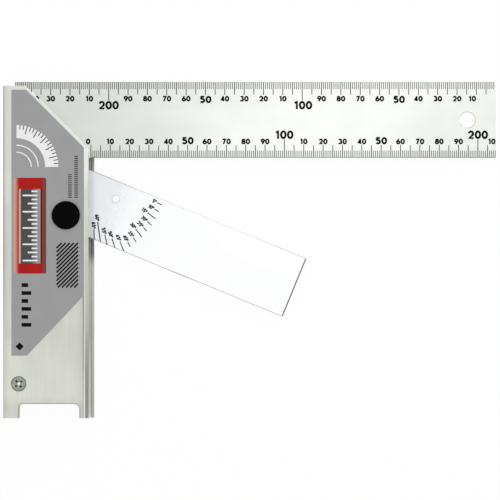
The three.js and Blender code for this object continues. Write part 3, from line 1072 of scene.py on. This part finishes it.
def addSmallMarks(mesh, face, ink):
    dash = labelPrint["dash"]
    for left, foot, top in labelPrint["ladders"]:
        for count in range(int((top - foot) / dash["step"])):
            low = foot + count * dash["step"]
            corner = (left + dash["length"], low + dash["width"], ink)
            addBar(mesh, (left, low, face), corner)
    bars = labelPrint["bars"]
    for count in range(bars["count"]):
        low = bars["foot"] + count * bars["step"]
        length = bars["lengths"][count % len(bars["lengths"])]
        corner = (bars["left"] + length, low + bars["width"], ink)
        addBar(mesh, (bars["left"], low, face), corner)
    x, y = labelPrint["diamond"]["middle"]
    reach = labelPrint["diamond"]["reach"]
    addSlab(mesh, [(x - reach, y), (x, y - reach), (x + reach, y), (x, y + reach)], face, ink)


def printLabel():
    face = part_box("face_label")[1].z / mm
    ink = face + labelPrint["layer"]
    over = ink + labelPrint["over"]
    areas = [
        ("label_red_panel", "panel", "redFilm", face, ink),
        ("label_ruled_strip", "strip", "greyInk", ink, over),
    ]
    for name, area, finish, foot, top in areas:
        mesh = bmesh.new()
        addSlab(mesh, roundOutline(**labelPrint[area]), foot, top)
        makePiece(name, mesh, finish, "stock")
    pale = bmesh.new()
    dark = bmesh.new()
    addStripMarks(pale, over, over + labelPrint["over"])
    addFan(pale, dark, face, ink, over)
    addHatch(dark, face, ink)
    addSmallMarks(dark, face, ink)
    makePiece("label_pale_marks", pale, "whiteInk", "stock")
    makePiece("label_dark_marks", dark, "blackInk", "stock")
    print("label printed")


# The catch's spring, with closed end coils. The real one shortens as the plunger lifts; here it is
# wound once, at the CAD spring's length.

coil = {
    "wire": 0.24,         # radius
    "closedTurns": 1,     # at each end
    "closedPitch": 2.05,  # of the wire's radius
    "openTurns": 3,
    "steps": 36,          # of a turn
    "sides": 12,
}


def windSpring():
    low, high = (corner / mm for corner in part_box("catch_spring"))
    wire = coil["wire"]
    middle = (low + high) / 2
    radius = (high.x - low.x) / 2 - wire
    closed = coil["closedTurns"]
    turns = 2 * closed + coil["openTurns"]
    closedPitch = wire * coil["closedPitch"]
    openPitch = (high.z - low.z - 2 * wire - 2 * closed * closedPitch) / coil["openTurns"]
    line = []
    for step in range(turns * coil["steps"] + 1):
        turn = step / coil["steps"]
        opened = min(max(turn - closed, 0), coil["openTurns"])
        height = low.z + wire + opened * openPitch + (turn - opened) * closedPitch
        angle = math.tau * turn
        x = middle.x + radius * math.cos(angle)
        y = middle.y + radius * math.sin(angle)
        line.append(Vector((x, y, height)))
    mesh = bmesh.new()
    addWire(mesh, line, wire, coil["sides"])
    spring = makePiece("catch_coil", mesh, "springSteel", "stock", smooth=True)
    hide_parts("catch_spring")
    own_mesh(spring)
    print("spring wound")


# Floor, surroundings and lamps

studio = {
    "ambient": 0.66,         # light that reaches matt surfaces from all round
    "overhead": 1.0,         # what polished surfaces see above them
    "horizon": 0.55,         # and at the level of the floor
    "riseTo": 0.8,           # "overhead" starts at this share of the way up
    "brightSide": (0.2, 0.98, 0),
    "sideGain": 0.2,
    "floorColour": paint(250, 250, 250),
    "floorGlow": 0.95,       # share of its own white in the floor that is seen
    "floorReach": 4000,      # mm, as the two below
    "floorTop": -0.05,
    "floorDepth": 1.0,
}


def makeFloor():
    material = bpy.data.materials.new("floor")
    material.use_nodes = True
    board = Board(material.node_tree)
    rays = board.node("ShaderNodeLightPath")  # its first output is for camera rays
    seen = rays.larger(rays.also("Is Glossy Ray")).larger(rays.also("Is Transmission Ray"))
    paper = board.node("ShaderNodeBsdfDiffuse", None, {"Color": studio["floorColour"]})
    glow = board.node("ShaderNodeEmission", None, {"Strength": 1.0})
    share = seen * studio["floorGlow"]
    mixed = board.node("ShaderNodeMixShader", None, {0: share, 1: paper, 2: glow})
    board.node("ShaderNodeOutputMaterial", None, {"Surface": mixed})
    reach = studio["floorReach"]
    top = studio["floorTop"]
    mesh = bmesh.new()
    addBar(mesh, (-reach, -reach, top - studio["floorDepth"]), (reach, reach, top))
    makeObject("floor", mesh, material)


def makeSurroundings():
    world = bpy.data.worlds.new("surroundings")
    bpy.context.scene.world = world
    world.use_nodes = True
    board = Board(world.node_tree)
    rays = board.node("ShaderNodeLightPath")
    shiny = rays.also("Is Glossy Ray").larger(rays.also("Is Transmission Ray"))
    way = board.node("ShaderNodeTexCoord").also("Generated")
    height = board.parts(way).also("Z")
    side = board.vectorMath("DOT_PRODUCT", way, studio["brightSide"]).also("Value")
    horizon = studio["horizon"]
    rise = board.step(height, 0.0, studio["riseTo"])
    reflected = horizon + rise * (studio["overhead"] - horizon) + side * studio["sideGain"]
    unseen = shiny * reflected + (1 - shiny) * studio["ambient"]
    strength = rays + (1 - rays) * unseen
    glow = board.node("ShaderNodeBackground", None, {"Strength": strength})
    board.node("ShaderNodeOutputWorld", None, {"Surface": glow})


# places and widths in mm, power in watts

lamps = {
    "key": {"spot": (420, 420, 760), "aim": (60, -40, 0), "side": 600, "watts": 4.0},
    "fill": {"spot": (-360, -300, 700), "aim": (60, -40, 0), "side": 700, "watts": 1.2},
    "bladeSheen": {"spot": (114, 20, 500), "aim": (114, 20, 0), "side": 160, "watts": 0.068},
    "lipGlow": {"spot": (520, 60, 80), "aim": (0, 20, 14), "side": 160, "watts": 0.15},
    "mitreGlow": {"spot": (380, 400, 40), "aim": (-16, 18, 14), "side": 180, "watts": 0.17},
}


def hangLamps():
    for name, lamp in lamps.items():
        light = bpy.data.lights.new(name, "AREA")
        light.shape = "DISK"
        light.size = lamp["side"] * mm
        light.energy = lamp["watts"]
        holder = bpy.data.objects.new(name, light)
        holder.location = Vector(lamp["spot"]) * mm
        way = Vector(lamp["aim"]) - Vector(lamp["spot"])
        holder.rotation_euler = way.to_track_quat("-Z", "Y").to_euler()
        holder.visible_camera = False
        bpy.context.scene.collection.objects.link(holder)
    print("studio lit")


setCamera()
dressNodes()
printBlade()
printTongue()
printLabel()
windSpring()
makeFloor()
makeSurroundings()
hangLamps()
bpy.context.scene.view_settings.view_transform = "Standard"

print("done")
